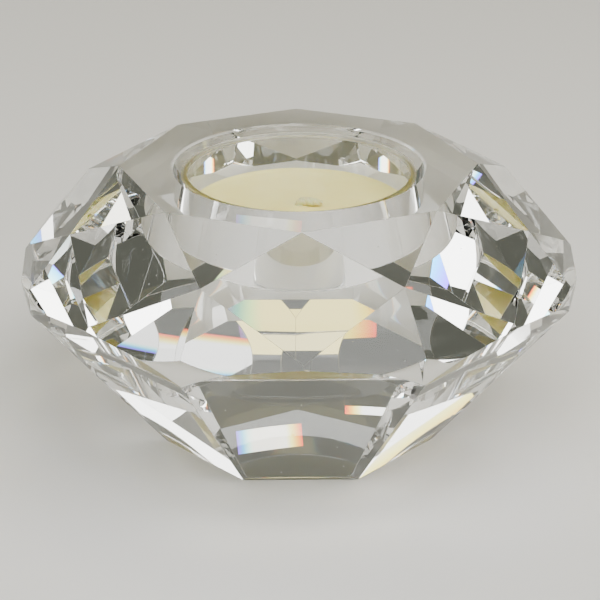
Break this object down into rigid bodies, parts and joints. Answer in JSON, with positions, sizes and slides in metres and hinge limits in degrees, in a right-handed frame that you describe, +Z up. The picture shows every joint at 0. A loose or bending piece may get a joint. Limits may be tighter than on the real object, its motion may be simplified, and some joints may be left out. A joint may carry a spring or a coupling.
{
  "type": "tealight holder",
  "caption": "Faceted clear crystal block, cut like a brilliant, with a round recess in its table that holds a lift-out tealight in a clear cup.",
  "frame": {"origin": "centre of the flat base, on the surface the holder stands on", "axes": "+Z up, along the axis of the table, the recess and the base; a kite facet faces -Y"},
  "size_m": [0.0888, 0.0888, 0.045],
  "materials": {
    "crystal": "polished clear cut crystal",
    "clear_cup": "clear moulded, glossy",
    "wax": "smooth waxy, satin",
    "sustainer_metal": "tin-plated, satin",
    "wick_cotton": "waxed braided cotton"
  },
  "bodies": {
    "holder": {"crystal_body": "crystal"},
    "tealight": {"tealight_cup": "clear_cup", "tealight_wax": "wax", "wick_sustainer": "sustainer_metal", "wick": "wick_cotton"}
  },
  "joints": [
    {"name": "tealight_lift", "type": "slide", "parent": "holder", "child": "tealight", "axis": [0, 0, 1], "range_m": [0, 0.03]}
  ]
}
